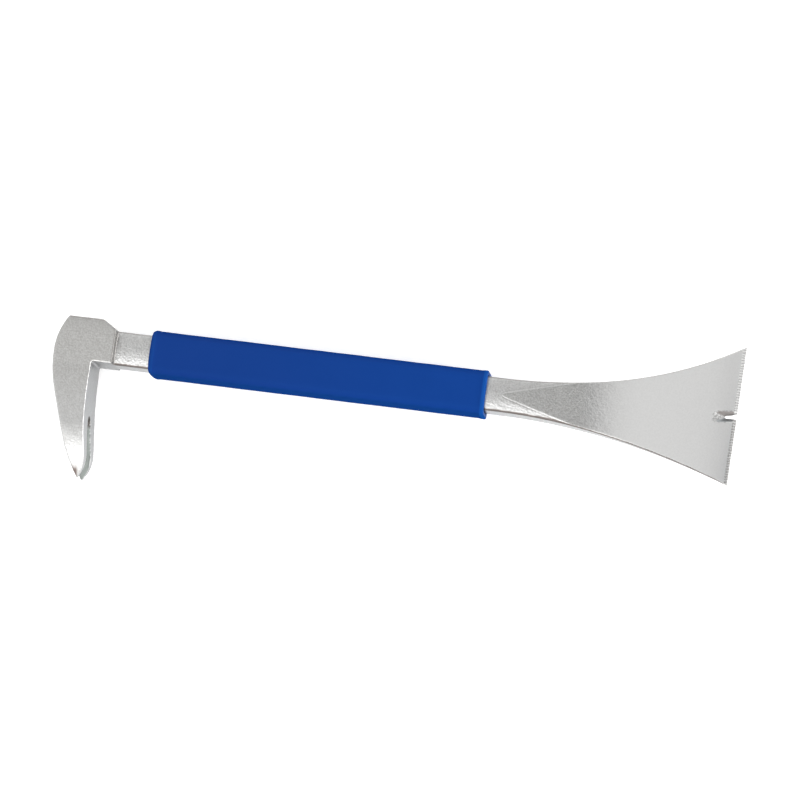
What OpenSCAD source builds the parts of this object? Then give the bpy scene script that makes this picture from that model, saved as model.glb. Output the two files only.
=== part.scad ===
// Moulding-puller pry bar: one steel forging with a striking head, a nail claw and a wide
// curled blade, and a moulded vinyl sleeve bonded over its shank. Nothing on it moves.
// It lies on its side. X runs from the back of the claw to the blade's edge, the claw
// reaches towards -Y, and Z is up through the thickness. The origin is under the middle
// of the bounding box, level with the side of the claw that it rests on. Millimetres.

/* [Overall] */
// Length from the back of the claw to the blade's edge
overall_length = 250; // [240:1:262]

/* [Head and claw] */
// Thickness of the head, across its two flat cheeks
head_depth = 19; // [17:0.5:20]
// Thickness of the claw where it has spread the most
claw_spread = 23.4; // [20:0.2:24]
// Length of the cheeks, from the back of the claw to the step down to the shank
head_length = 21.9; // [20:0.1:26]
// Height of the striking face above the shank's axis
poll_rise = 9.6; // [8.5:0.1:12]
// Bevel around the striking face
poll_bevel = 0.8; // [0.4:0.1:1.5]
// Reach of the prong tips below the shank's axis
claw_drop = 48.8; // [45:0.2:51]
// Lean of the claw's straight back from the head
claw_lean = 18.5; // [17:0.5:20]

/* [Nail slot] */
// Length of the slot, from its root to the prong tips
slot_length = 22.2; // [16:0.1:24]
// Width of the slot at its root
slot_root = 3.6; // [2.4:0.1:4]
// Width of the slot between the prong tips
slot_mouth = 6.4; // [5:0.1:6.6]
// How far the countersink widens the slot on each side
slot_sink = 1.2; // [0.4:0.1:1.4]
// Depth of the countersink under the claw's inner face
slot_sink_depth = 2.4; // [1:0.1:3]

/* [Shank] */
// Height of the shank, along Y
shank_height = 12.5; // [11.5:0.1:13]
// Depth of the shank between the tops of its crowned faces, along Z
shank_depth = 13; // [12:0.1:14]
// Rise of each crowned face above its edges
shank_crown = 1; // [0.8:0.1:1.6]

/* [Grip] */
// Distance from the back of the claw to the sleeve
grip_start = 34.7; // [30:0.1:38]
// Length of the sleeve
grip_length = 124; // [116:1:126]
// Height of the sleeve, along Y
grip_height = 16.5; // [16:0.1:18]
// Depth of the sleeve, along Z
grip_depth = 16.6; // [16:0.1:18]
// Rounding of the sleeve's long edges
grip_edge = 2.2; // [1:0.1:3]
// Rounding of the sleeve's two ends
grip_end = 1; // [0.4:0.1:1.2]
// Thickness of the bonding film between shank and sleeve
bond_film = 0.2; // [0.1:0.05:0.3]

/* [Blade] */
// Width of the blade at its edge
blade_width = 50.4; // [44:0.2:56]
// Radius of the hollow, curled face
blade_curl = 74; // [70:1:84]
// Thickness of the blade just before its edge
edge_thickness = 1; // [0.8:0.1:1.4]
// Length of the ground flat along the edge
edge_flat = 1.6; // [1:0.1:2]
// Skew of the ground edge from square
edge_skew = 1.1; // [0:0.1:1.5]

/* [Blade notch] */
// Width of the notch on the hollow face
notch_width = 4.2; // [3:0.1:5]
// Length of the notch along the hollow face
notch_length = 12; // [9:0.1:14]
// Length of the ramp that runs down to the gap through the blade
notch_ramp = 5; // [3:0.1:6]
// Depth that the notch is cut to
notch_depth = 2; // [1.9:0.1:2.4]

/* [Hidden] */
$fn = 96;
fine_fn = 360;
steel = [0.80, 0.80, 0.79];
vinyl = [0.10, 0.27, 0.58];
adhesive = [0.86, 0.80, 0.62];
past = 1;
spare = 4;
reach = 70;

// Places along X
back_x = -overall_length / 2;
edge_x = overall_length / 2;
grip_x = back_x + grip_start;
inner_x = back_x + 14.4;

// The shank's axis in the part's frame, and the radius of its crowned faces
axis_y = (claw_drop - blade_width / 2) / 2;
axis_z = claw_spread / 2;
half_depth = shank_depth / 2;
crown_radius = (pow(shank_height / 2, 2) + pow(shank_crown, 2)) / (2 * shank_crown);

// The claw's back: rounded at the head, straight, then curving in to the prong tips
back_level = -3.5;
head_radius = 23;
nape_radius = 44.4;
prong_radius = 65;
prong_drop = 12.9;
prong_angle = asin(sin(claw_lean) + prong_drop / prong_radius);
poll_end = 16.6;

// The claw's inner face: slightly hollow, turning back at the tips
inner_radius = 165;
inner_level = -12;
inner_sweep = 9.4;
inner_fillet = 0.5;
tip_flat = 0.3;

// The claw spreads from the head down to this level, then its prongs are drawn in
spread_start = -8;
spread_level = -30;
taper_radius = 28.3;

// The hollow face: it leaves the crown, dips, then curls up to the edge
run_out = 1.2;
hollow_x = edge_x - 85.8;
dip_x = edge_x - 60;
dip_slope = 7;
dip_radius = (dip_x - hollow_x) / (sin(dip_slope) - sin(run_out));
dip_z = half_depth - dip_radius * (cos(run_out) - cos(dip_slope));
curl_x = dip_x + blade_curl * sin(dip_slope);
curl_z = dip_z + blade_curl * cos(dip_slope);

// Where the crowned neck has run out and the thin blade begins
neck_end = edge_x - 51.6;
flare_x = edge_x - 86.5;
flare_rise = (blade_width - shank_height) / 2;
flare_radius = (pow(edge_x - flare_x, 2) + pow(flare_rise, 2)) / (2 * flare_rise);

// The curled back: a long arc off the shank to the heel, then one that thins the blade
back_x0 = edge_x - 77.5;
heel_angle = 15.6;
heel_thickness = 4.4;
heel = curl_point(heel_angle, heel_thickness);
edge_low = curl_point(asin((edge_x - curl_x) / blade_curl), edge_thickness);
heel_slope = 2 * atan((heel[1] + half_depth) / (heel[0] - back_x0)) - run_out;
back_radius = (heel[0] - back_x0) / (sin(heel_slope) - sin(run_out));
thin_radius = blade_curl + 10;
thin_centre = arc_centre(heel, edge_low, thin_radius);
edge_land = 0.3;

// A point at an angle round the curl, at a depth under the hollow face
function curl_point(angle, depth) =
    [curl_x, curl_z] + (blade_curl + depth) * [sin(angle), -cos(angle)];

// Height at x of the lower half of a circle
function low_side(centre, r, x) = centre[1] - sqrt(pow(r, 2) - pow(x - centre[0], 2));

// Points along an arc
function arc(centre, r, from, to, steps) = [
    for (i = [0:steps])
        let (a = from + (to - from) * i / steps)
        centre + r * [cos(a), sin(a)]
];

// Centre of the circle of radius r through p and q, on the left of the line between them
function arc_centre(p, q, r) =
    let (d = q - p)
    (p + q) / 2 + sqrt(pow(r, 2) - d * d / 4) * [-d[1], d[0]] / norm(d);

function claw_back() =
    let (top = asin((poll_rise - back_level) / head_radius),
         nape = [back_x + nape_radius * (1 - cos(claw_lean)),
                 back_level - nape_radius * sin(claw_lean)],
         fall = nape[1] + claw_drop - prong_drop,
         prong = nape + fall * [tan(claw_lean), -1])
    concat(
        arc([back_x + head_radius, back_level], head_radius, 180 - top, 180, 10),
        arc([back_x + nape_radius, back_level], nape_radius, 182, 180 + claw_lean, 8),
        arc(prong + prong_radius * [cos(claw_lean), sin(claw_lean)],
            prong_radius, 180 + claw_lean, 180 + prong_angle, 6));

function claw_inner() =
    let (back = claw_back(),
         tip = back[len(back) - 1] + [tip_flat, 0],
         turn = [inner_x + inner_radius * (1 - cos(inner_sweep)),
                 inner_level - inner_radius * sin(inner_sweep)],
         inward = -[cos(inner_sweep), sin(inner_sweep)],
         r = (tip - turn) * (tip - turn) / (2 * (tip - turn) * inward),
         centre = turn + r * inward)
    concat(
        arc(centre, r, atan2(tip[1] - centre[1], tip[0] - centre[0]), inner_sweep, 6),
        arc([inner_x + inner_radius, inner_level], inner_radius, 179.5 + inner_sweep, 180, 10));

// The head and claw from the side
module claw_outline() {
    under = -shank_height / 2;
    step_x = back_x + head_length;
    polygon(concat(
        claw_back(),
        claw_inner(),
        arc([inner_x + inner_fillet, under - inner_fillet], inner_fillet, 180, 90, 4),
        [[step_x, under],
         [step_x, shank_height / 2],
         [back_x + poll_end + 1.1, poll_rise - 0.4],
         [back_x + poll_end, poll_rise]]));
}

// The head and claw from the end: bevelled poll, flat cheeks, a spreading claw, and
// prongs whose outer sides are drawn in on arcs
module claw_front() {
    half = head_depth / 2;
    spread = claw_spread / 2;
    taper = asin((claw_drop + spread_level + past) / taper_radius);
    polygon(concat(
        [[spread_start, -half],
         [poll_rise - poll_bevel, -half],
         [poll_rise, poll_bevel - half],
         [poll_rise, half - poll_bevel],
         [poll_rise - poll_bevel, half],
         [spread_start, half]],
        arc([spread_level, spread - taper_radius], taper_radius, 90, 90 + taper, 10),
        arc([spread_level, taper_radius - spread], taper_radius, 270 - taper, 270, 10)));
}

// Lays a YZ outline along X
module along_x(from, to)
    translate([from, 0, 0])
        rotate([90, 0, 90])
            linear_extrude(to - from)
                children();

// Lays an XZ outline evenly across Y
module across_y(width)
    translate([0, width / 2, 0])
        rotate([90, 0, 0])
            linear_extrude(width)
                children();

// The crowned faces of the shank and neck, in section
module crowns(grow = 0)
    intersection_for (side = [-1, 1])
        translate([0, side * (half_depth - crown_radius)])
            circle(crown_radius + grow, $fn = fine_fn);

// The shank's section, grown evenly for the film and the sleeve's bore
module shank_section(grow = 0)
    intersection() {
        square([shank_height, shank_depth] + 2 * grow * [1, 1], center = true);
        crowns(grow);
    }

module claw_solid()
    intersection() {
        translate([0, 0, -claw_spread])
            linear_extrude(2 * claw_spread)
                claw_outline();
        along_x(back_x - past, back_x + head_length + past)
            claw_front();
    }

// The nail slot through the prongs, with its countersink on the inner face
module nail_slot() {
    root_y = slot_length - claw_drop - slot_root / 2;
    sink_x = inner_x + 0.6 - slot_sink_depth;
    sink = slot_sink * (slot_sink_depth + past) / slot_sink_depth;
    along_x(back_x, inner_x + 5) {
        translate([root_y, 0])
            circle(d = slot_root);
        polygon([[root_y, -slot_root / 2],
                 [root_y, slot_root / 2],
                 [-claw_drop - past, slot_mouth / 2],
                 [-claw_drop - past, -slot_mouth / 2]]);
    }
    hull()
        for (end = [[root_y, slot_root / 2], [-claw_drop - past, slot_mouth / 2]])
            translate([sink_x, end[0], 0])
                rotate([0, 90, 0])
                    cylinder(slot_sink_depth + past, end[1], end[1] + sink, $fn = 32);
}

// The neck and blade from above: the sides flare on one long arc to each corner
module blade_outline()
    difference() {
        translate([flare_x, -blade_width])
            square([edge_x - flare_x + spare, 2 * blade_width]);
        for (side = [-1, 1])
            translate([flare_x, side * (shank_height / 2 + flare_radius)])
                circle(flare_radius, $fn = 2 * fine_fn);
    }

// Everything above the hollow face, from the side
module hollow_profile() {
    difference() {
        translate([hollow_x, dip_z - past])
            square([dip_x - hollow_x, reach]);
        translate([hollow_x, half_depth] - dip_radius * [sin(run_out), cos(run_out)])
            circle(dip_radius, $fn = 2 * fine_fn);
    }
    intersection() {
        translate([curl_x, curl_z])
            circle(blade_curl, $fn = fine_fn);
        translate([dip_x, -reach])
            square([reach, 3 * reach]);
    }
}

// The neck and blade from the side, between the curled back and the hollow face
module blade_profile()
    difference() {
        intersection() {
            translate([flare_x, -half_depth - past])
                square([edge_x - flare_x + spare, reach]);
            union() {
                translate([flare_x - past, -half_depth - 2 * past])
                    square([back_x0 - flare_x + past, reach]);
                translate([back_x0, -half_depth] + back_radius * [-sin(run_out), cos(run_out)])
                    circle(back_radius, $fn = 2 * fine_fn);
            }
            union() {
                translate([flare_x - past, -half_depth - 2 * past])
                    square([heel[0] - flare_x + past, reach]);
                translate(thin_centre)
                    circle(thin_radius, $fn = fine_fn);
            }
        }
        hollow_profile();
    }

// The part of the neck and blade between two places along X, flared and curled
module flared(from, to)
    intersection() {
        translate([0, 0, -half_depth - spare])
            linear_extrude(reach + 2 * spare)
                blade_outline();
        across_y(2 * blade_width + spare)
            intersection() {
                blade_profile();
                translate([from, -reach])
                    square([to - from, 3 * reach]);
            }
    }

// The ground flat and the skewed end, taken off the blade
module edge_grind() {
    flat_x = edge_x - edge_flat;
    translate([edge_x, blade_width / 2, 0])
        rotate(-edge_skew)
            translate([-edge_x, -blade_width / 2, 0])
                across_y(3 * blade_width)
                    polygon([[flat_x, reach],
                             [flat_x, low_side([curl_x, curl_z], blade_curl, flat_x)],
                             [edge_x, low_side(thin_centre, thin_radius, edge_x) + edge_land],
                             [edge_x, -reach],
                             [edge_x + 4 * spare, -reach],
                             [edge_x + 4 * spare, reach]]);
}

module blade_solid() {
    intersection() {
        flared(flare_x, neck_end);
        along_x(flare_x, neck_end)
            crowns();
    }
    difference() {
        flared(neck_end, edge_x + spare);
        edge_grind();
    }
}

// The nail notch: a groove that ramps down until it breaks through the thinning blade
module blade_notch() {
    edge_angle = asin((edge_x - curl_x) / blade_curl);
    notch_angle = notch_length / blade_curl * 180 / PI;
    tilt = edge_angle - notch_angle / 2;
    start = curl_point(edge_angle - notch_angle, 0);
    open = 0.6;
    half = notch_width / 2 * (1 + open / notch_depth);
    translate([start[0], 0, start[1]])
        rotate([0, -tilt, 0])
            hull() {
                translate([-open * notch_ramp / notch_depth, -half, open])
                    cube([notch_length + 8, 2 * half, 0.01]);
                translate([0, 0, -notch_depth])
                    linear_extrude(0.01)
                        polygon([[notch_ramp, 0],
                                 [notch_length + 4, 0.25],
                                 [notch_length + 4, -0.25]]);
            }
}

// The sleeve's outside: rounded in section, from above and from the side
module sleeve_block() {
    module rounded(size, r)
        for (x = [r, size[0] - r], y = [r, size[1] - r])
            translate([x, y])
                circle(r);
    module rounded_box(size, r) {
        rounded(size, r);
        translate([r, 0])
            square([size[0] - 2 * r, size[1]]);
        translate([0, r])
            square([size[0], size[1] - 2 * r]);
    }
    intersection() {
        along_x(grip_x, grip_x + grip_length)
            translate([-grip_height / 2, -grip_depth / 2])
                rounded_box([grip_height, grip_depth], grip_edge);
        translate([grip_x, -grip_height / 2, -grip_depth / 2])
            linear_extrude(grip_depth)
                rounded_box([grip_length, grip_height], grip_end);
        across_y(grip_height)
            translate([grip_x, -grip_depth / 2])
                rounded_box([grip_length, grip_depth], grip_end);
    }
}

// Moves a sub-part from the shank's axis into the part's frame
module placed()
    translate([0, axis_y, axis_z])
        children();

module forged_bar()
    color(steel)
        placed()
            difference() {
                union() {
                    claw_solid();
                    along_x(inner_x + 4, flare_x)
                        shank_section();
                    blade_solid();
                }
                nail_slot();
                blade_notch();
            }

module grip_sleeve()
    color(vinyl)
        placed()
            difference() {
                sleeve_block();
                along_x(grip_x - past, grip_x + grip_length + past)
                    shank_section(bond_film);
            }

module bond_layer()
    color(adhesive)
        placed()
            along_x(grip_x + grip_end, grip_x + grip_length - grip_end)
                difference() {
                    shank_section(bond_film);
                    shank_section();
                }

forged_bar();
grip_sleeve();
bond_layer();
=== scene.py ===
import math

import bpy
import numpy as np
from mathutils import Matrix, Vector


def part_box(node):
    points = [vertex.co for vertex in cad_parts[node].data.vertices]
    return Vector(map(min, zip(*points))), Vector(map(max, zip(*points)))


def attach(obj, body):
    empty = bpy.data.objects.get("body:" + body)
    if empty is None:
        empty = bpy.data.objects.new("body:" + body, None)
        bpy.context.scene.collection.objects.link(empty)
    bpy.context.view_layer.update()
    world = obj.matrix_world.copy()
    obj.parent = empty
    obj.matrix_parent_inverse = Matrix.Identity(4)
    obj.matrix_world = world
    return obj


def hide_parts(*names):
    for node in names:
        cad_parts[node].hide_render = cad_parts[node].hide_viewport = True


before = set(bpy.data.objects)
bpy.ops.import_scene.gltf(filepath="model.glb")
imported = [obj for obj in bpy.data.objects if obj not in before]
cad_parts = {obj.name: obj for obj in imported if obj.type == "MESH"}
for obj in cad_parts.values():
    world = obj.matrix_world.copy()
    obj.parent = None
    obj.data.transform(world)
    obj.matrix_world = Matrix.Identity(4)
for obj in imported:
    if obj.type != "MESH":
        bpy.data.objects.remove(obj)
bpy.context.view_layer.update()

MM = 0.001

# Places taken from the CAD frame, in millimetres from the shank's axis
bar_low, bar_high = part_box("forged_bar")
grip_low, grip_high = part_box("grip_sleeve")
AXIS = Vector((0, (grip_low.y + grip_high.y) / 2, (grip_low.z + grip_high.z) / 2))
BACK_X = bar_low.x / MM
EDGE_X = bar_high.x / MM
TIP_Y = (bar_low.y - AXIS.y) / MM
BLADE_HALF = (bar_high.y - AXIS.y) / MM
CLAW_HALF = (AXIS.z - bar_low.z) / MM
GRIP_X0 = grip_low.x / MM
GRIP_X1 = grip_high.x / MM
GRIP_HALF = ((grip_high.y - AXIS.y) / MM, (grip_high.z - AXIS.z) / MM)

# Head and claw
HEAD_HALF = 9.5
POLL_Y = 9.6
POLL_BEVEL = 0.8
HEAD_LENGTH = 21.9
INNER_X = BACK_X + 14.4
CLAW_LEAN = 18.5
SPREAD_START = -8.0
SPREAD_LEVEL = -30.0
TAPER_RADIUS = 28.3
SLOT_ROOT_Y = TIP_Y + 22.2 - 1.8
SLOT_HALF = (1.8, 3.2)
SLOT_SINK = 1.2
SLOT_SINK_DEPTH = 2.4

# Shank
SHANK_HALF_Y = 6.25
SHANK_HALF_Z = 6.5
CROWN = 40.0

# Neck and blade
FLARE_X = EDGE_X - 86.5
FLARE_RISE = BLADE_HALF - SHANK_HALF_Y
FLARE_RADIUS = ((EDGE_X - FLARE_X) ** 2 + FLARE_RISE ** 2) / (2 * FLARE_RISE)
HOLLOW_X = EDGE_X - 85.8
HOLLOW_SLOPE = 0.27
HOLLOW_BLUNT = 0.3
HOLLOW_OPENS = 30.0
HOLLOW_OPENING = 0.5
DIP_X = EDGE_X - 60.0
DIP_SLOPE = math.radians(7)
RUN_OUT = math.radians(1.2)
DIP_RADIUS = (DIP_X - HOLLOW_X) / (math.sin(DIP_SLOPE) - math.sin(RUN_OUT))
DIP_CENTRE = (HOLLOW_X - DIP_RADIUS * math.sin(RUN_OUT),
              SHANK_HALF_Z - DIP_RADIUS * math.cos(RUN_OUT))
DIP_Z = DIP_CENTRE[1] + DIP_RADIUS * math.cos(DIP_SLOPE)
CURL_RADIUS = 74.0
CURL_CENTRE = (DIP_X + CURL_RADIUS * math.sin(DIP_SLOPE),
               DIP_Z + CURL_RADIUS * math.cos(DIP_SLOPE))
HEEL_ANGLE = math.radians(15.6)
HEEL_THICKNESS = 4.4
BACK_X0 = EDGE_X - 77.5
EDGE_THICKNESS = 1.0
EDGE_FLAT = 1.35
EDGE_LAND = 0.3
EDGE_SKEW = math.radians(1.1)
SCALLOP_PITCH = 0.95
SCALLOP_DEPTH = 0.04

# Notch in the blade
NOTCH_LENGTH = 12.0
NOTCH_HALF = 2.2
NOTCH_DEPTH = 2.0
NOTCH_RAMP = 4.3

# Grid that the bar's surface is found on
CELL = 0.4
FINE = 0.2


# ---------------------------------------------------------------- shape of the bar

def curl_point(angle, depth):
    r = CURL_RADIUS + depth
    return np.array([CURL_CENTRE[0] + r * math.sin(angle),
                     CURL_CENTRE[1] - r * math.cos(angle)])


def arc_centre(p, q, r):
    d = q - p
    side = math.sqrt(r * r - d @ d / 4) / np.linalg.norm(d)
    return (p + q) / 2 + side * np.array([-d[1], d[0]])


EDGE_ANGLE = math.asin((EDGE_X - CURL_CENTRE[0]) / CURL_RADIUS)
HEEL = curl_point(HEEL_ANGLE, HEEL_THICKNESS)
THIN_RADIUS = CURL_RADIUS + 10
THIN_CENTRE = arc_centre(HEEL, curl_point(EDGE_ANGLE, EDGE_THICKNESS), THIN_RADIUS)
HEEL_SLOPE = 2 * math.atan((HEEL[1] + SHANK_HALF_Z) / (HEEL[0] - BACK_X0)) - RUN_OUT
BACK_RADIUS = (HEEL[0] - BACK_X0) / (math.sin(HEEL_SLOPE) - math.sin(RUN_OUT))
BACK_CENTRE = (BACK_X0 - BACK_RADIUS * math.sin(RUN_OUT),
               -SHANK_HALF_Z + BACK_RADIUS * math.cos(RUN_OUT))


def both(a, b, r):
    """Where a and b are both inside, with the edge between them rounded to r."""
    return np.minimum(np.maximum(a, b), -r) + np.hypot(
        np.maximum(a + r, 0), np.maximum(b + r, 0))


def either(a, b, r):
    """Where a or b is inside, with the corner between them filled to r."""
    return -both(-a, -b, r)


def arc(centre, r, start, end, steps):
    turns = np.radians(np.linspace(start, end, steps + 1))
    return [(centre[0] + r * math.cos(t), centre[1] + r * math.sin(t)) for t in turns]


def claw_outline():
    """The head and claw from the side, as points in order."""
    level, head_r, nape_r, prong_r, drop = -3.5, 23.0, 44.4, 65.0, 12.9
    lean = math.radians(CLAW_LEAN)
    top = math.degrees(math.asin((POLL_Y - level) / head_r))
    nape = (BACK_X + nape_r * (1 - math.cos(lean)), level - nape_r * math.sin(lean))
    fall = nape[1] - TIP_Y - drop
    prong = (nape[0] + fall * math.tan(lean), nape[1] - fall)
    prong_angle = math.degrees(math.asin(math.sin(lean) + drop / prong_r))
    sweep, inner_r, fillet, tip_flat = 9.4, 165.0, 0.5, 0.3
    bend = math.radians(sweep)
    turn = (INNER_X + inner_r * (1 - math.cos(bend)), -12 - inner_r * math.sin(bend))
    prong_centre = (prong[0] + prong_r * math.cos(lean), prong[1] + prong_r * math.sin(lean))
    tip_x = prong_centre[0] - prong_r * math.cos(math.radians(prong_angle)) + tip_flat
    inward = (-math.cos(bend), -math.sin(bend))
    dx, dy = tip_x - turn[0], TIP_Y - turn[1]
    tip_r = (dx * dx + dy * dy) / (2 * (dx * inward[0] + dy * inward[1]))
    tip_centre = (turn[0] + tip_r * inward[0], turn[1] + tip_r * inward[1])
    tip_angle = math.degrees(math.atan2(TIP_Y - tip_centre[1], tip_x - tip_centre[0]))
    under = -SHANK_HALF_Y
    step_x = BACK_X + HEAD_LENGTH
    return (
        arc((BACK_X + head_r, level), head_r, 180 - top, 180, 8)
        + arc((BACK_X + nape_r, level), nape_r, 183, 180 + CLAW_LEAN, 6)
        + arc(prong_centre, prong_r, 180 + CLAW_LEAN, 180 + prong_angle, 5)
        + arc(tip_centre, tip_r, tip_angle, sweep, 5)
        + arc((INNER_X + inner_r, -12), inner_r, 179.5 + sweep, 180, 6)
        + arc((INNER_X + fillet, under - fillet), fillet, 180, 90, 4)
        + [(step_x, under), (step_x, SHANK_HALF_Y),
           (BACK_X + 17.4, POLL_Y - 0.5), (BACK_X + 16.8, POLL_Y - 0.12),
           (BACK_X + 16.0, POLL_Y)])


CLAW_OUTLINE = claw_outline()


def outline_distance(x, y, points):
    """Signed distance from a closed outline, less than nought inside it."""
    nearest, inside = None, False
    for (ax, ay), (bx, by) in zip(points, points[1:] + points[:1]):
        ex, ey = bx - ax, by - ay
        wx, wy = x - ax, y - ay
        t = np.clip((wx * ex + wy * ey) / (ex * ex + ey * ey), 0, 1)
        d = (wx - ex * t) ** 2 + (wy - ey * t) ** 2
        nearest = d if nearest is None else np.minimum(nearest, d)
        if ey != 0:
            inside = inside ^ (((ay <= y) != (by <= y)) & (wx < wy * ex / ey))
    return np.where(inside, -1, 1) * np.sqrt(nearest)


def claw(x, y, z):
    side = outline_distance(x, y, CLAW_OUTLINE)
    spread = HEAD_HALF + (CLAW_HALF - HEAD_HALF) * np.clip(
        (SPREAD_START - y) / (SPREAD_START - SPREAD_LEVEL), 0, 1)
    drawn = np.clip(SPREAD_LEVEL - y, 0, TAPER_RADIUS * 0.95)
    half = spread - TAPER_RADIUS + np.sqrt(TAPER_RADIUS ** 2 - drawn ** 2)
    slant = np.sqrt(TAPER_RADIUS ** 2 - drawn ** 2) / TAPER_RADIUS
    front = (np.abs(z) - half) * slant
    bevel = (np.abs(z) - HEAD_HALF + y - POLL_Y + POLL_BEVEL) * math.sqrt(0.5)
    shape = both(both(side, front, 0.4), bevel, 0.15)
    return both(shape, -nail_slot(x, y, z), 0.35)


def nail_slot(x, y, z):
    sink_x = INNER_X + 0.6 - SLOT_SINK_DEPTH
    fall = np.clip((SLOT_ROOT_Y - y) / (SLOT_ROOT_Y - TIP_Y), 0, 1)
    half = SLOT_HALF[0] + (SLOT_HALF[1] - SLOT_HALF[0]) * fall
    slot = np.hypot(z, np.maximum(y - SLOT_ROOT_Y, 0)) - half
    sink = SLOT_SINK * np.clip((x - sink_x) / SLOT_SINK_DEPTH, 0, 1.5)
    return np.maximum(slot - sink, y - SLOT_ROOT_Y - 2 * SLOT_HALF[1])


def hollow_height(x):
    dip = DIP_CENTRE[1] + np.sqrt(DIP_RADIUS ** 2 - (x - DIP_CENTRE[0]) ** 2)
    dx = np.clip(x - CURL_CENTRE[0], -CURL_RADIUS * 0.5, CURL_RADIUS * 0.9)
    curl = CURL_CENTRE[1] - np.sqrt(CURL_RADIUS ** 2 - dx ** 2)
    return np.where(x < DIP_X, dip, curl)


def crease_square(run):
    """Square of the hollow's half width, at a distance along it from its point."""
    opened = np.maximum(run - HOLLOW_OPENS, 0)
    return (HOLLOW_SLOPE * run) ** 2 + HOLLOW_BLUNT * run + HOLLOW_OPENING * opened ** 2


def upper_face(x, y, z):
    """The crowned face of the shank and neck, and the hollow that opens out of it."""
    run = np.maximum(x - HOLLOW_X, 0)
    crease = crease_square(run)
    start = np.where(x < HOLLOW_X, SHANK_HALF_Z, hollow_height(x))
    crown = (z - start + (y ** 2 - crease) / CROWN) * 0.96
    curl = CURL_RADIUS - np.hypot(x - CURL_CENTRE[0], z - CURL_CENTRE[1])
    hollow = np.where(x < DIP_X, z - hollow_height(x), curl)
    return both(crown, np.where(x < HOLLOW_X - 3, -99.0, hollow), 0.05)


def lower_face(x, y, z):
    """The crowned back of the shank, the long curve off it and the thinning blade."""
    crown = (-SHANK_HALF_Z + y ** 2 / CROWN - z) * 0.96
    back = np.hypot(x - BACK_CENTRE[0], z - BACK_CENTRE[1]) - BACK_RADIUS
    thin = np.hypot(x - THIN_CENTRE[0], z - THIN_CENTRE[1]) - THIN_RADIUS
    curve = np.where(x < HEEL[0], back, thin)
    return both(crown, np.where(x < BACK_X0, -99.0, curve), 0.3)


def side_faces(x, y):
    run = np.maximum(x - FLARE_X, 0)
    return FLARE_RADIUS - np.hypot(run, np.abs(y) - SHANK_HALF_Y - FLARE_RADIUS)


def ground_edge(x, y, z):
    """The skewed end of the blade and the flat that is ground along its edge."""
    dx, dy = x - EDGE_X, y - BLADE_HALF
    sx = EDGE_X + dx * math.cos(EDGE_SKEW) - dy * math.sin(EDGE_SKEW)
    flat_x = EDGE_X - EDGE_FLAT
    flat_z = CURL_CENTRE[1] - math.sqrt(CURL_RADIUS ** 2 - (flat_x - CURL_CENTRE[0]) ** 2)
    land_z = EDGE_LAND + THIN_CENTRE[1] - math.sqrt(
        THIN_RADIUS ** 2 - (EDGE_X - THIN_CENTRE[0]) ** 2)
    slope = math.atan2(land_z - flat_z, EDGE_FLAT)
    marks = np.sin(2 * math.pi * (y + 0.15 * np.sin(y * 0.83)) / SCALLOP_PITCH)
    marks = SCALLOP_DEPTH * (1 + marks)
    flat = (z - flat_z) * math.cos(slope) - (sx - flat_x) * math.sin(slope)
    flat = np.where(sx < flat_x - 2, -99.0, flat + marks)
    return both(sx - EDGE_X + 0.4 * marks, flat, 0.08)


def notch(x, y, z):
    """A V groove that ramps down until it breaks through the blade."""
    turn = NOTCH_LENGTH / CURL_RADIUS
    tilt = EDGE_ANGLE - turn / 2
    start = curl_point(EDGE_ANGLE - turn, 0)
    along = (x - start[0]) * math.cos(tilt) + (z - start[1]) * math.sin(tilt)
    up = (z - start[1]) * math.cos(tilt) - (x - start[0]) * math.sin(tilt)
    half = NOTCH_HALF - 0.008 * (along - NOTCH_RAMP) ** 2
    walls = (np.abs(y) - half * (1 + up / NOTCH_DEPTH)) * 0.68
    ramp = -(up + along * NOTCH_DEPTH / NOTCH_RAMP) * 0.93
    return np.maximum(both(walls, ramp, 0.9), -4 - along)


def bar(x, y, z):
    """Signed distance from the bar's surface, in millimetres from the shank's axis."""
    uneven = 0.03 * np.sin(0.9 * x + 0.5 * z) * np.sin(0.8 * y + 1) * np.sin(0.7 * z - 0.3 * x)
    thin = np.clip((x - 45) / 70, 0, 1)
    edge_r = 0.7 - 0.45 * thin
    body = both(upper_face(x, y, z), lower_face(x, y, z), 0.1)
    body = both(body, side_faces(x, y), edge_r)
    body = both(body, INNER_X + 4 - x, 0.1)
    body = both(body, ground_edge(x, y, z), 0.06)
    body = both(body, -notch(x, y, z), 0.15)
    head = np.where(x < BACK_X + HEAD_LENGTH + 6, claw(x, y, z), 99.0)
    return either(body, head, 0.4) + uneven * (1 - thin)


def middle(x):
    """Height of the middle of the bar's thickness, which the grid follows."""
    flat = np.clip(x, BACK_X0, HEEL[0])
    low = BACK_CENTRE[1] - np.sqrt(BACK_RADIUS ** 2 - (flat - BACK_CENTRE[0]) ** 2)
    low = np.where(x < BACK_X0, -SHANK_HALF_Z, low)
    dx = np.clip(x - THIN_CENTRE[0], 0, THIN_RADIUS * 0.9)
    low = np.where(x < HEEL[0], low, THIN_CENTRE[1] - np.sqrt(THIN_RADIUS ** 2 - dx ** 2))
    high = np.where(x < HOLLOW_X, SHANK_HALF_Z, hollow_height(x))
    return (low + high) / 2


def spaced(*stops):
    """Grid places from (start, step), (start, step) ... (end, 0)."""
    places = []
    for (start, step), (end, _) in zip(stops, stops[1:]):
        count = max(1, round((end - start) / step))
        places.extend(np.linspace(start, end, count, endpoint=False))
    return np.array(places + [stops[-1][0]])


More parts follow.
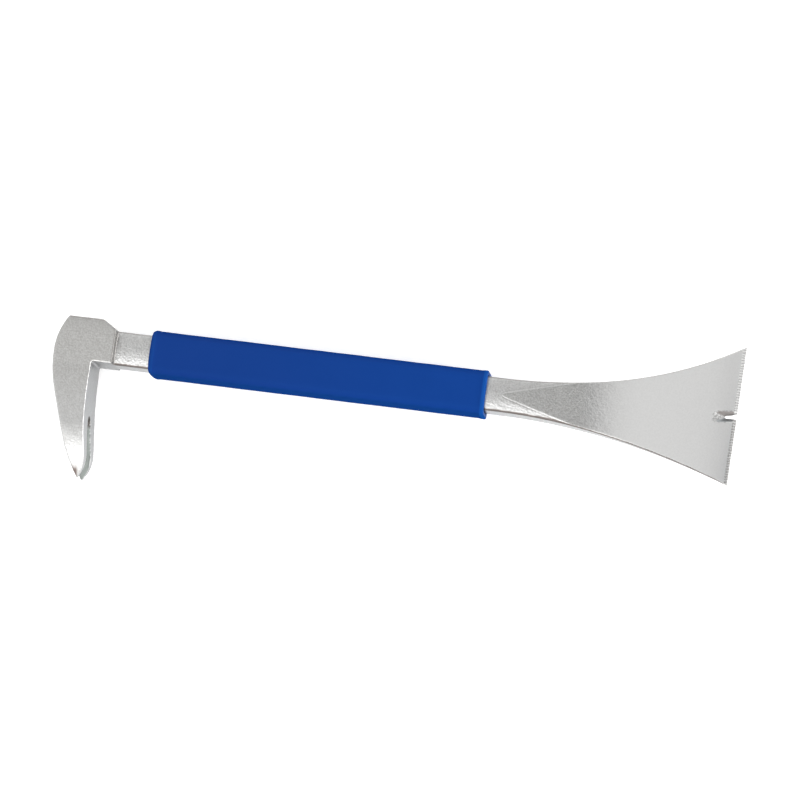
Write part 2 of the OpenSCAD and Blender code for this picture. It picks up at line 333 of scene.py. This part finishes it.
def surface_net(values):
    """Points in grid units and quads of the surface where values change sign."""
    inside = values < 0
    corners = [(i, j, k) for i in (0, 1) for j in (0, 1) for k in (0, 1)]
    size = [n - 1 for n in values.shape]

    def shifted(grid, c):
        return grid[c[0]:c[0] + size[0], c[1]:c[1] + size[1], c[2]:c[2] + size[2]]

    count = sum(shifted(inside, c).astype(np.int8) for c in corners)
    cells = np.argwhere((count > 0) & (count < 8))
    number = np.full(size, -1, np.int32)
    number[tuple(cells.T)] = np.arange(len(cells))
    total = np.zeros((len(cells), 3))
    crossings = np.zeros(len(cells))
    for a in corners:
        for axis in range(3):
            if a[axis]:
                continue
            b = list(a)
            b[axis] = 1
            va = values[tuple((cells + a).T)]
            vb = values[tuple((cells + b).T)]
            cut = (va < 0) != (vb < 0)
            share = np.where(cut, va / np.where(cut, va - vb, 1), 0)
            spot = np.array(a, float) + share[:, None] * np.eye(3)[axis]
            total += np.where(cut[:, None], spot, 0)
            crossings += cut
    points = cells + total / crossings[:, None]
    quads = []
    for axis in range(3):
        u, v = (axis + 1) % 3, (axis + 2) % 3
        first = np.moveaxis(inside, axis, 0)
        crossed = np.moveaxis(first[:-1] != first[1:], 0, axis)
        spots = np.argwhere(crossed)
        spots = spots[(spots[:, u] > 0) & (spots[:, v] > 0)]
        spots = spots[(spots[:, u] < size[u]) & (spots[:, v] < size[v])]
        ring = []
        for du, dv in ((1, 1), (0, 1), (0, 0), (1, 0)):
            cell = spots.copy()
            cell[:, u] -= du
            cell[:, v] -= dv
            ring.append(number[tuple(cell.T)])
        ring = np.stack(ring, 1)
        outward = inside[tuple(spots.T)]
        quads.append(np.where(outward[:, None], ring, ring[:, ::-1]))
    return points, np.concatenate(quads)


def settle(points, rounds=3, step=0.01, reach=0.3):
    """Moves points onto the bar's surface along its slope."""
    for _ in range(rounds):
        x, y, z = points.T
        value = bar(x, y, z)
        slope = np.stack([
            bar(x + step, y, z) - bar(x - step, y, z),
            bar(x, y + step, z) - bar(x, y - step, z),
            bar(x, y, z + step) - bar(x, y, z - step)], 1) / (2 * step)
        scale = value / np.maximum((slope ** 2).sum(1), 0.2)
        move = np.clip(scale, -reach, reach)[:, None] * slope
        points = points - move
    return points


def new_mesh(name, points, faces):
    """A smooth mesh from points in millimetres about the shank's axis."""
    points = np.asarray(points) * MM + np.array(AXIS)
    mesh = bpy.data.meshes.new(name)
    mesh.from_pydata(points.tolist(), [], [list(f) for f in faces])
    mesh.validate()
    mesh.shade_smooth()
    obj = bpy.data.objects.new(name, mesh)
    bpy.context.scene.collection.objects.link(obj)
    return obj


def forged_bar():
    xs = spaced((BACK_X - 0.7, CELL), (GRIP_X0 + 2, 3), (GRIP_X1 - 2, CELL),
                (EDGE_X - 3, FINE), (EDGE_X + 0.6, 0))
    ys = spaced((TIP_Y - 0.7, CELL), (BLADE_HALF + 0.7, 0))
    ts = spaced((-CLAW_HALF - 0.7, CELL), (-0.8, FINE), (0.8, CELL), (CLAW_HALF + 0.7, 0))
    x = xs[:, None, None]
    y = ys[None, :, None]
    z = middle(xs)[:, None, None] + ts[None, None, :]
    spots, quads = surface_net(bar(x, y, z))
    px = np.interp(spots[:, 0], np.arange(len(xs)), xs)
    py = np.interp(spots[:, 1], np.arange(len(ys)), ys)
    pt = np.interp(spots[:, 2], np.arange(len(ts)), ts)
    points = settle(np.stack([px, py, middle(px) + pt], 1))
    low = (np.array(bar_low) - np.array(AXIS)) / MM
    high = (np.array(bar_high) - np.array(AXIS)) / MM
    obj = new_mesh("forged_bar_finished", np.clip(points, low, high), quads)
    mark_regions(obj, *points.T)
    return obj


def mark_regions(obj, x, y, z):
    """Marks where each surface point lies, for the painted shade in the nail slot and the notch."""
    marks = {
        "in_slot": (nail_slot(x, y, z) < 0.08) & (x < INNER_X + 4),
        "in_notch": (notch(x, y, z) < 0.12) & (x > DIP_X),
    }
    for name, share in marks.items():
        mark = obj.data.attributes.new(name, "FLOAT", "POINT")
        mark.data.foreach_set("value", np.asarray(share, np.float32))


# ---------------------------------------------------------------- shape of the sleeve

SLEEVE_EDGE_R = 3.0
SLEEVE_END_R = 1.0
SLEEVE_CROWN = 0.12
SLEEVE_LIP = 0.16
SLEEVE_DISH = 0.4
BORE_HALF = (SHANK_HALF_Y + 0.2, SHANK_HALF_Z + 0.2)
SIDE_STEPS = 14
CORNER_STEPS = 8


def ring(half_y, half_z, r, crown):
    """A rounded rectangle in section, with its two faces across z slightly crowned."""
    points = []
    for quarter in range(4):
        turn = math.radians(90 * quarter)
        cy = (half_y - r) * (1 if quarter in (0, 3) else -1)
        cz = (half_z - r) * (1 if quarter in (0, 1) else -1)
        for i in range(CORNER_STEPS + 1):
            a = turn + math.radians(90) * i / CORNER_STEPS
            points.append((cy + r * math.cos(a), cz + r * math.sin(a)))
        far = (quarter + 1) % 4
        ny = (half_y - r) * (1 if far in (0, 3) else -1)
        nz = (half_z - r) * (1 if far in (0, 1) else -1)
        a = turn + math.radians(90)
        for i in range(1, SIDE_STEPS):
            s = i / SIDE_STEPS
            points.append((cy + (ny - cy) * s + r * math.cos(a),
                           cz + (nz - cz) * s + r * math.sin(a)))
    points = np.array(points)
    flat_z = crown * (points[:, 0] / half_y) ** 2
    points[:, 1] -= np.sign(points[:, 1]) * flat_z * (np.abs(points[:, 1]) > half_z - r)
    return points


def grip_sleeve():
    half_y, half_z = GRIP_HALF
    bore = ring(*BORE_HALF, 0.5, 1.0)
    lip = ring(BORE_HALF[0] + 0.3, BORE_HALF[1] + 0.3, 0.7, 1.0)

    def outer(inset):
        return ring(half_y - inset, half_z - inset, SLEEVE_EDGE_R - 0.8 * inset, SLEEVE_CROWN)

    rise = [SLEEVE_END_R * (1 - math.cos(math.radians(a))) for a in range(0, 91, 15)]
    inset = [SLEEVE_END_R * (1 - math.sin(math.radians(a))) for a in range(0, 91, 15)]
    sections = [(GRIP_X0 + 1.5, bore), (GRIP_X0 + 0.35, bore), (GRIP_X0 + 0.1, lip)]
    sections += [(GRIP_X0 + dx, outer(i)) for dx, i in zip(rise, inset)]
    sections += [(GRIP_X0 + 1.8, outer(0)), (GRIP_X0 + 2.3, outer(SLEEVE_LIP / 2))]
    for x in np.linspace(GRIP_X0 + 2.8, GRIP_X1 - 2.8, 90):
        waver = 0.03 * math.sin(0.31 * x) * math.sin(0.13 * x)
        sections.append((x, outer(SLEEVE_LIP + waver)))
    sections += [(GRIP_X1 - 2.3, outer(SLEEVE_LIP / 2)), (GRIP_X1 - 1.8, outer(0))]
    sections += [(GRIP_X1 - dx, outer(i)) for dx, i in reversed(list(zip(rise, inset)))]
    sections += [(GRIP_X1 - 0.1, lip), (GRIP_X1 - 0.35, bore), (GRIP_X1 - 1.5, bore)]
    sections += [(x, bore) for x in np.linspace(GRIP_X1 - 12, GRIP_X0 + 12, 12)]

    points = []
    for x, outline in sections:
        for y, z in outline:
            corner = 2.0 if y < 0 else 1.4
            over = max(0.0, abs(y) - (half_y - corner))
            left = corner - math.sqrt(max(0.0, corner ** 2 - over ** 2))
            left = left * (0.25 + 0.75 * (z / half_z) ** 2) + 0.35 * (y / half_y) ** 2
            right = SLEEVE_DISH * (1 - (y / half_y) ** 8)
            fade_left = max(0.0, 1 - (x - GRIP_X0) / 9) ** 2
            fade_right = max(0.0, 1 - (GRIP_X1 - x) / 6) ** 2
            points.append((x + left * fade_left - right * fade_right, y, z))
    around = len(bore)
    faces = []
    for s in range(len(sections)):
        t = (s + 1) % len(sections)
        for i in range(around):
            j = (i + 1) % around
            faces.append((s * around + i, s * around + j, t * around + j, t * around + i))
    return new_mesh("grip_sleeve_finished", points, faces)


# ---------------------------------------------------------------- materials

class Nodes:
    """Small helper that adds and joins shader nodes."""

    def __init__(self, tree):
        self.tree = tree
        tree.nodes.clear()

    def add(self, kind, inputs=None, **settings):
        node = self.tree.nodes.new(kind)
        for key, value in settings.items():
            setattr(node, key, value)
        for key, value in (inputs or {}).items():
            self.feed(node.inputs[key], value)
        return node

    def feed(self, socket, value):
        if isinstance(value, bpy.types.NodeSocket):
            self.tree.links.new(value, socket)
        else:
            socket.default_value = value

    def math(self, operation, a, b=0.0):
        return self.add("ShaderNodeMath", {0: a, 1: b}, operation=operation).outputs[0]

    def span(self, value, low, high, to_low=0.0, to_high=1.0):
        """Runs smoothly from to_low to to_high as value goes from low to high."""
        node = self.add("ShaderNodeMapRange", {
            "Value": value, "From Min": low, "From Max": high,
            "To Min": to_low, "To Max": to_high}, interpolation_type="SMOOTHSTEP")
        return node.outputs["Result"]

    def noise(self, place, scale, detail=3.0, roughness=0.55):
        node = self.add("ShaderNodeTexNoise", {
            "Vector": place, "Scale": scale, "Detail": detail, "Roughness": roughness})
        return node.outputs["Fac"]

    def mix(self, share, a, b):
        node = self.add("ShaderNodeMix", data_type="RGBA")
        self.feed(node.inputs["Factor"], share)
        self.feed(node.inputs["A"], a)
        self.feed(node.inputs["B"], b)
        return node.outputs["Result"]


def new_material(name):
    material = bpy.data.materials.new(name)
    material.use_nodes = True
    return material, Nodes(material.node_tree)


def hollow_masks(n, x, across, facing_z):
    """The blade's hollow, and the masks of a painted highlight line along its edge and a painted shade
    line beside that.
    """
    run = n.math("MULTIPLY", n.math("SUBTRACT", x, HOLLOW_X * MM), 1 / MM)
    run = n.math("MAXIMUM", run, 0.0)
    opened = n.math("MAXIMUM", n.math("SUBTRACT", run, HOLLOW_OPENS), 0.0)
    opened = n.math("MULTIPLY", n.math("MULTIPLY", opened, opened), HOLLOW_OPENING)
    sloped = n.math("MULTIPLY", n.math("MULTIPLY", run, run), HOLLOW_SLOPE ** 2)
    square = n.math("ADD", sloped, n.math("ADD", n.math("MULTIPLY", run, HOLLOW_BLUNT), opened))
    gap = n.math("SUBTRACT", n.math("SQRT", square), n.math("ABSOLUTE", across))
    on_top = n.math("MULTIPLY", n.span(facing_z, 0.3, 0.6), n.span(run, 0.0, 0.2))
    hollow = n.math("MULTIPLY", on_top, n.span(gap, -0.1, 0.3))
    line = n.math("MULTIPLY", on_top, n.span(run, 31.0, 24.0))
    line = n.math("MULTIPLY", line, n.span(across, 0.3, -0.3, 0.3, 1.0))
    from_crease = n.math("ABSOLUTE", n.math("ADD", gap, 0.15))
    from_under = n.math("ABSOLUTE", n.math("ADD", gap, 0.65))
    crease = n.math("MULTIPLY", line, n.span(from_crease, 0.35, 0.1))
    under = n.math("MULTIPLY", line, n.span(from_under, 0.3, 0.1))
    return hollow, crease, under


def steel_material():
    material, n = new_material("forged_steel")
    place = n.add("ShaderNodeTexCoord").outputs["Object"]
    x, y, z = n.add("ShaderNodeSeparateXYZ", {"Vector": place}).outputs
    geometry = n.add("ShaderNodeNewGeometry").outputs
    facing_x, facing_y, facing_z = n.add(
        "ShaderNodeSeparateXYZ", {"Vector": geometry["Normal"]}).outputs
    upright = n.span(n.math("ABSOLUTE", facing_z), 0.62, 0.3)
    grain = n.span(n.noise(place, 1500.0, 3.0, 0.6), 0.3, 0.7)
    mottle = n.span(n.noise(place, 700.0, 3.0), 0.35, 0.65)
    cloud = n.noise(place, 80.0, 2.0)
    pits = n.span(n.noise(place, 1000.0, 2.0), 0.6, 0.72)
    speckle = n.span(n.noise(place, 1500.0, 2.0), 0.35, 0.65)

    blade = n.span(x, (DIP_X - 6) * MM, (DIP_X + 26) * MM)
    head = n.span(x, (BACK_X + HEAD_LENGTH + 0.3) * MM, (BACK_X + HEAD_LENGTH - 0.3) * MM)
    cast = n.math("SUBTRACT", 1.0, n.math("MAXIMUM", blade, n.math("MULTIPLY", head, 0.4)))
    slant = n.math("MULTIPLY", n.math("SUBTRACT", y, AXIS.y + BLADE_HALF * MM),
                   -math.tan(EDGE_SKEW))
    flat_x = (EDGE_X - EDGE_FLAT) * MM
    ground = n.span(n.math("ADD", x, slant), flat_x - 0.0002, flat_x + 0.0001)

    slot, notched = (n.add("ShaderNodeAttribute", attribute_name=name).outputs["Fac"]
                     for name in ("in_slot", "in_notch"))
    across = n.math("MULTIPLY", n.math("SUBTRACT", y, AXIS.y), 1 / MM)
    hollow, crease, under = hollow_masks(n, x, across, facing_z)
    # Painted shade over the first part of the hollow, flecked with speckle.
    dip = n.math("MULTIPLY", hollow, n.span(x, (DIP_X + 10) * MM, (DIP_X - 2) * MM))
    edge = n.span(geometry["Pointiness"], 0.53, 0.60)
    colour = n.mix(n.math("MULTIPLY", grain, n.math("ADD", 0.25, n.math("MULTIPLY", cast, 0.75))),
                   (0.66, 0.66, 0.655, 1), (0.52, 0.52, 0.515, 1))
    colour = n.mix(n.math("MULTIPLY", cloud, 0.2), colour, (0.68, 0.67, 0.65, 1))
    colour = n.mix(n.math("MULTIPLY", dip, n.math("ADD", 0.28, n.math("MULTIPLY", speckle, 0.36))),
                   colour, (0.38, 0.38, 0.37, 1))
    # Painted highlight along the hollow's crease.
    colour = n.mix(n.math("MULTIPLY", crease, 0.8), colour, (0.92, 0.92, 0.91, 1))
    # Painted shade in a line beside the crease.
    colour = n.mix(n.math("MULTIPLY", under, 0.6), colour, (0.30, 0.29, 0.28, 1))
    sanded = n.math("MULTIPLY", head, n.span(y, AXIS.y - 30 * MM, AXIS.y, 0.2, 0.8))
    colour = n.mix(n.math("MULTIPLY", sanded, n.math("ADD", 0.65, n.math("MULTIPLY", speckle, 0.6))),
                   colour, (0.455, 0.45, 0.435, 1))
    colour = n.mix(n.math("MULTIPLY", pits, n.math("MULTIPLY", cast, 0.5)), colour,
                   (0.33, 0.31, 0.29, 1))
    # Painted highlight on sharp edges, weaker on the blade.
    edge_highlight = n.math("MULTIPLY", edge, n.math("SUBTRACT", 0.4, n.math("MULTIPLY", blade, 0.3)))
    colour = n.mix(edge_highlight, colour, (0.86, 0.86, 0.85, 1))
    # Painted shade on faces turned sideways from z.
    colour = n.mix(n.math("MULTIPLY", upright, 0.9), colour, (0.31, 0.315, 0.32, 1))
    # Painted shade on the face of the step where the head meets the shank.
    from_step = n.math("ABSOLUTE", n.math("SUBTRACT", x, (BACK_X + HEAD_LENGTH) * MM))
    step = n.math("MULTIPLY", n.span(facing_x, 0.08, 0.3), n.span(from_step, 1.6 * MM, 1.2 * MM))
    step = n.math("MULTIPLY", step, n.span(facing_z, -0.2, 0.0))
    colour = n.mix(n.math("MULTIPLY", step, 0.8), colour, (0.20, 0.19, 0.18, 1))
    shade = n.math("MULTIPLY", n.span(across, 2.0, 9.0), n.span(x, GRIP_X0 * MM, GRIP_X0 * MM - 0.001))
    colour = n.mix(n.math("MULTIPLY", shade, 0.35), colour, (0.40, 0.395, 0.385, 1))
    shank = n.span(x, (BACK_X + HEAD_LENGTH) * MM, (BACK_X + HEAD_LENGTH + 0.6) * MM)
    # Painted dark reflection along the rounded lower corner of the shank.
    dark_corner_reflection = n.math("MULTIPLY", n.span(facing_y, -0.26, -0.38), n.span(facing_y, -0.99, -0.94))
    colour = n.mix(n.math("MULTIPLY", n.math("MULTIPLY", dark_corner_reflection, shank), 0.9), colour,
                   (0.11, 0.09, 0.08, 1))
    # Painted shade on faces turned toward +y.
    colour = n.mix(n.math("MULTIPLY", n.span(facing_y, 0.3, 0.6), 0.8), colour,
                   (0.26, 0.25, 0.24, 1))
    # Painted shade inside the nail slot, darkest at its root.
    root = n.span(y, AXIS.y + (SLOT_ROOT_Y - 1.5) * MM, AXIS.y + SLOT_ROOT_Y * MM)
    slot_shade = n.mix(root, (0.15, 0.165, 0.155, 1), (0.05, 0.045, 0.04, 1))
    colour = n.mix(n.math("MULTIPLY", slot, 0.95), colour, slot_shade)
    # Painted shade, dark brown, at the near tip of the claw.
    tip_shade = n.math("MULTIPLY", n.span(y, AXIS.y + (TIP_Y + 5) * MM, AXIS.y + (TIP_Y + 2.5) * MM),
                   n.math("MULTIPLY", n.span(z, AXIS.z, AXIS.z + 2 * MM),
                          n.span(x, (INNER_X - 0.5) * MM, (INNER_X + 0.5) * MM, 1.0, 0.0)))
    colour = n.mix(n.math("MULTIPLY", tip_shade, 0.85), colour, (0.12, 0.075, 0.06, 1))
    # Painted shade on the walls of the blade's notch, toned by which way each wall faces.
    wall = n.mix(n.span(facing_y, -0.1, 0.1), (0.30, 0.28, 0.27, 1), (0.33, 0.35, 0.36, 1))
    wall = n.mix(n.span(n.math("ABSOLUTE", facing_y), 0.5, 0.3), wall,
                 n.mix(speckle, (0.30, 0.295, 0.29, 1), (0.66, 0.66, 0.65, 1)))
    colour = n.mix(n.math("MULTIPLY", notched, 0.9), colour, wall)
    turns = n.math("MULTIPLY", y, 2 * math.pi / (SCALLOP_PITCH * MM))
    ripple = n.math("SINE", n.math("ADD", turns, n.math("MULTIPLY", mottle, 1.5)))
    upper_half = n.span(across, -3.0, 3.0)
    groove = n.mix(upper_half, (0.40, 0.395, 0.385, 1), (0.56, 0.56, 0.55, 1))
    crest = n.mix(upper_half, (0.66, 0.66, 0.65, 1), (0.86, 0.86, 0.85, 1))
    ground_tone = n.mix(n.span(ripple, -0.6, 0.9), groove, crest)
    colour = n.mix(n.math("MULTIPLY", ground, 0.85), colour, ground_tone)
    rough = n.math("ADD", n.math("MULTIPLY", grain, 0.08),
                   n.math("ADD", 0.29, n.math("MULTIPLY", head, 0.1)))
    rough = n.math("SUBTRACT", rough, n.math("MULTIPLY", ground, 0.06))

    height = n.math("MULTIPLY", grain, n.math("ADD", n.math("MULTIPLY", cast, 0.9), 0.1))
    height = n.math("ADD", height, n.math("MULTIPLY", mottle, n.math("MULTIPLY", cast, 0.7)))
    bump = n.add("ShaderNodeBump", {"Strength": 0.5, "Distance": 0.00010, "Height": height})
    shader = n.add("ShaderNodeBsdfPrincipled", {
        "Base Color": colour, "Metallic": 1.0, "Roughness": rough,
        "Normal": bump.outputs["Normal"]})
    n.add("ShaderNodeOutputMaterial", {"Surface": shader.outputs["BSDF"]})
    return material


def vinyl_material():
    material, n = new_material("blue_vinyl")
    place = n.add("ShaderNodeTexCoord").outputs["Object"]
    x = n.add("ShaderNodeSeparateXYZ", {"Vector": place}).outputs[0]
    pebble = n.noise(place, 1500.0, 3.0)
    patch = n.noise(place, 90.0, 3.0)
    right = n.span(x, GRIP_X0 * MM, GRIP_X1 * MM)
    colour = n.mix(right, (0.0075, 0.034, 0.180, 1), (0.0060, 0.040, 0.212, 1))
    colour = n.mix(n.math("MULTIPLY", patch, 0.35), colour, (0.003, 0.028, 0.16, 1))
    normal = n.add("ShaderNodeNewGeometry").outputs["Normal"]
    _, facing_y, facing_z = n.add("ShaderNodeSeparateXYZ", {"Vector": normal}).outputs
    # Painted shade on the sleeve's faces that turn sideways from z.
    upright = n.span(n.math("ABSOLUTE", facing_z), 0.8, 0.3)
    colour = n.mix(n.math("MULTIPLY", upright, 0.7), colour, (0.0035, 0.032, 0.145, 1))
    gloss = n.span(n.math("ABSOLUTE", facing_y), 0.25, 0.6, 0.12, 0.0)
    from_end = n.math("MINIMUM", n.math("SUBTRACT", x, GRIP_X0 * MM),
                      n.math("SUBTRACT", GRIP_X1 * MM, x))
    # Painted highlight on the rounded ends of the sleeve, stronger at the right end.
    rim_highlight = n.span(from_end, 2.1 * MM, 1.6 * MM, 0.0, 0.4)
    rim_highlight = n.math("MULTIPLY", rim_highlight, n.span(right, 0.4, 0.6, 0.3, 1.0))
    colour = n.mix(rim_highlight, colour, (0.008, 0.085, 0.34, 1))
    rough = n.math("ADD", n.math("MULTIPLY", pebble, 0.15), 0.42)
    bump = n.add("ShaderNodeBump", {"Strength": 0.3, "Distance": 0.0001,
                                    "Height": n.math("ADD", pebble, n.math("MULTIPLY", patch, 0.6))})
    shader = n.add("ShaderNodeBsdfPrincipled", {
        "Base Color": colour, "Roughness": rough, "Specular IOR Level": gloss,
        "Specular Tint": (0.05, 0.32, 0.75, 1.0),
        "Normal": bump.outputs["Normal"]})
    n.add("ShaderNodeOutputMaterial", {"Surface": shader.outputs["BSDF"]})
    return material


def adhesive_material():
    material, n = new_material("bonding_film")
    place = n.add("ShaderNodeTexCoord").outputs["Object"]
    streak = n.noise(place, 700.0, 4.0)
    colour = n.mix(streak, (0.45, 0.34, 0.16, 1), (0.62, 0.52, 0.30, 1))
    bump = n.add("ShaderNodeBump", {"Strength": 0.3, "Distance": 0.0001, "Height": streak})
    shader = n.add("ShaderNodeBsdfPrincipled", {
        "Base Color": colour, "Roughness": n.math("ADD", n.math("MULTIPLY", streak, 0.2), 0.5),
        "Normal": bump.outputs["Normal"]})
    n.add("ShaderNodeOutputMaterial", {"Surface": shader.outputs["BSDF"]})
    return material


# ---------------------------------------------------------------- studio

FLOOR_SIZE = 6.0
FLOOR_GLOW = 0.3
SKY_TO_LEFT = 0.9
SKY_TO_NEAR = 0.25
SKY_RIGHT = 3.3
SKY_FAR = 0.5
SKY_HORIZON = 0.25
KEY_POWER = 15.0
VIEW_SLOPE = Vector((0.118, -0.126, 1.0))
VIEW_DISTANCE = 1.558
VIEW_ROLL = math.radians(6.95)
LOOK_AT = Vector((0.002, 0.0062, AXIS.z))
LENS = 193.6


def floor():
    mesh = bpy.data.meshes.new("studio_floor")
    h = FLOOR_SIZE / 2
    z = bar_low.z - 0.0002
    mesh.from_pydata([(-h, -h, z), (h, -h, z), (h, h, z), (-h, h, z)], [], [(0, 1, 2, 3)])
    obj = bpy.data.objects.new("studio_floor", mesh)
    bpy.context.scene.collection.objects.link(obj)
    material, n = new_material("studio_floor")
    place = n.add("ShaderNodeTexCoord").outputs["Object"]
    tone = n.mix(n.noise(place, 3.0), (0.92, 0.92, 0.92, 1), (0.94, 0.94, 0.94, 1))
    shader = n.add("ShaderNodeBsdfPrincipled", {
        "Base Color": tone, "Roughness": 0.9, "Specular IOR Level": 0.1,
        "Emission Color": (1.0, 1.0, 1.0, 1.0), "Emission Strength": FLOOR_GLOW})
    n.add("ShaderNodeOutputMaterial", {"Surface": shader.outputs["BSDF"]})
    mesh.materials.append(material)


def sky():
    """A soft white surround: dim at the horizon, brighter toward the left, and bright at the right."""
    world = bpy.data.worlds.new("studio")
    bpy.context.scene.world = world
    world.use_nodes = True
    n = Nodes(world.node_tree)
    place = n.add("ShaderNodeTexCoord").outputs["Generated"]
    x, y, z = n.add("ShaderNodeSeparateXYZ", {"Vector": place}).outputs
    rise = n.span(z, 0.03, 0.22)
    parts = ((SKY_TO_LEFT, n.span(x, 0.16, -0.14)), (SKY_TO_NEAR, n.span(y, 0.34, -0.26)),
             (SKY_RIGHT, n.span(x, 0.32, 0.7)), (SKY_FAR, n.span(y, 0.5, 0.85)))
    total = n.math("MULTIPLY", n.math("SUBTRACT", 1.0, rise), SKY_HORIZON)
    for strength, share in parts:
        total = n.math("ADD", total, n.math("MULTIPLY", n.math("MULTIPLY", rise, strength), share))
    shade = n.add("ShaderNodeBackground", {"Color": (1.0, 1.0, 1.0, 1.0), "Strength": total})
    n.add("ShaderNodeOutputWorld", {"Surface": shade.outputs["Background"]})


def soft_light(name, place, size, power):
    lamp = bpy.data.lights.new(name, "AREA")
    lamp.shape = "RECTANGLE"
    lamp.size, lamp.size_y = size
    lamp.energy = power
    obj = bpy.data.objects.new(name, lamp)
    obj.location = place
    obj.rotation_euler = (-Vector(place)).to_track_quat("-Z", "Y").to_euler()
    bpy.context.scene.collection.objects.link(obj)


def camera():
    back = VIEW_SLOPE.normalized()
    level = (Vector((1, 0, 0)) - back * back.x).normalized()
    upright = back.cross(level)
    right = level * math.cos(VIEW_ROLL) + upright * math.sin(VIEW_ROLL)
    up = upright * math.cos(VIEW_ROLL) - level * math.sin(VIEW_ROLL)
    lens = bpy.data.cameras.new("camera")
    lens.lens = LENS
    lens.clip_end = 20
    obj = bpy.data.objects.new("camera", lens)
    turn = Matrix((right, up, back)).transposed().to_4x4()
    obj.matrix_world = Matrix.Translation(LOOK_AT + back * VIEW_DISTANCE) @ turn
    bpy.context.scene.collection.objects.link(obj)
    bpy.context.scene.camera = obj


# ---------------------------------------------------------------- put together

def finish_piece(obj, material, node):
    obj.data.materials.clear()
    obj.data.materials.append(material)
    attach(obj, "root")
    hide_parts(node)


finish_piece(forged_bar(), steel_material(), "forged_bar")
finish_piece(grip_sleeve(), vinyl_material(), "grip_sleeve")
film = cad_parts["bond_layer"]
film.data.materials.clear()
film.data.materials.append(adhesive_material())

floor()
sky()
soft_light("key", (-0.3, -1.4, 1.5), (1.3, 1.3), KEY_POWER)
camera()
bpy.context.scene.view_settings.view_transform = "Standard"
